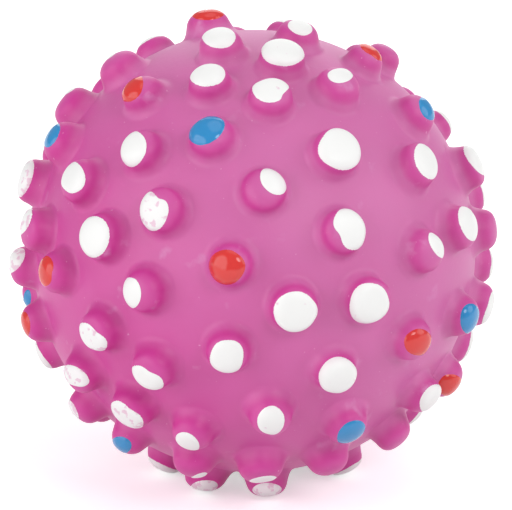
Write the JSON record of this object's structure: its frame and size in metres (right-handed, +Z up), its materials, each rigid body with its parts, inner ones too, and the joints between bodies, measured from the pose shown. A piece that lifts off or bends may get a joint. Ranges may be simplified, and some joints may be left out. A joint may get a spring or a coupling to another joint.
{
  "type": "spiky squeaky ball",
  "caption": "Hollow soft rubber toy ball covered in domed nubs with painted tips, with a reed squeaker in its underside that sounds when the ball is squeezed.",
  "frame": {"origin": "on the floor, below the ball's centre, where the ring of nubs around the squeaker stands", "axes": "+Z up, away from the squeaker; the pictured front faces -Y"},
  "size_m": [0.0796, 0.08, 0.0771],
  "materials": {
    "pink_rubber": "satin moulded rubber, nub tips dabbed with white, red and blue paint",
    "housing_plastic": "plain moulded plastic",
    "cap_plastic": "plain moulded plastic",
    "reed_plastic": "plain moulded plastic",
    "tongue_plastic": "thin springy plastic strip",
    "wedge_plastic": "plain moulded plastic"
  },
  "bodies": {
    "ball": {"ball_skin": "pink_rubber"},
    "squeaker": {"squeaker_housing": "housing_plastic", "squeaker_cap": "cap_plastic", "reed_tube": "reed_plastic", "reed_wedge": "wedge_plastic"},
    "reed": {"reed_tongue": "tongue_plastic"}
  },
  "joints": [
    {"name": "squeeze", "type": "slide", "parent": "ball", "child": "squeaker", "axis": [0, 0, 1], "range_m": [0, 0.018], "stiffness_N_per_m": 450, "deforming": ["ball_skin"]},
    {"name": "reed_flutter", "type": "hinge", "parent": "squeaker", "child": "reed", "pos_m": [0.00082, 0, 0.00637], "axis": [0, 1, 0], "range_deg": [-2, 4], "stiffness_Nm_per_rad": 0.002}
  ]
}
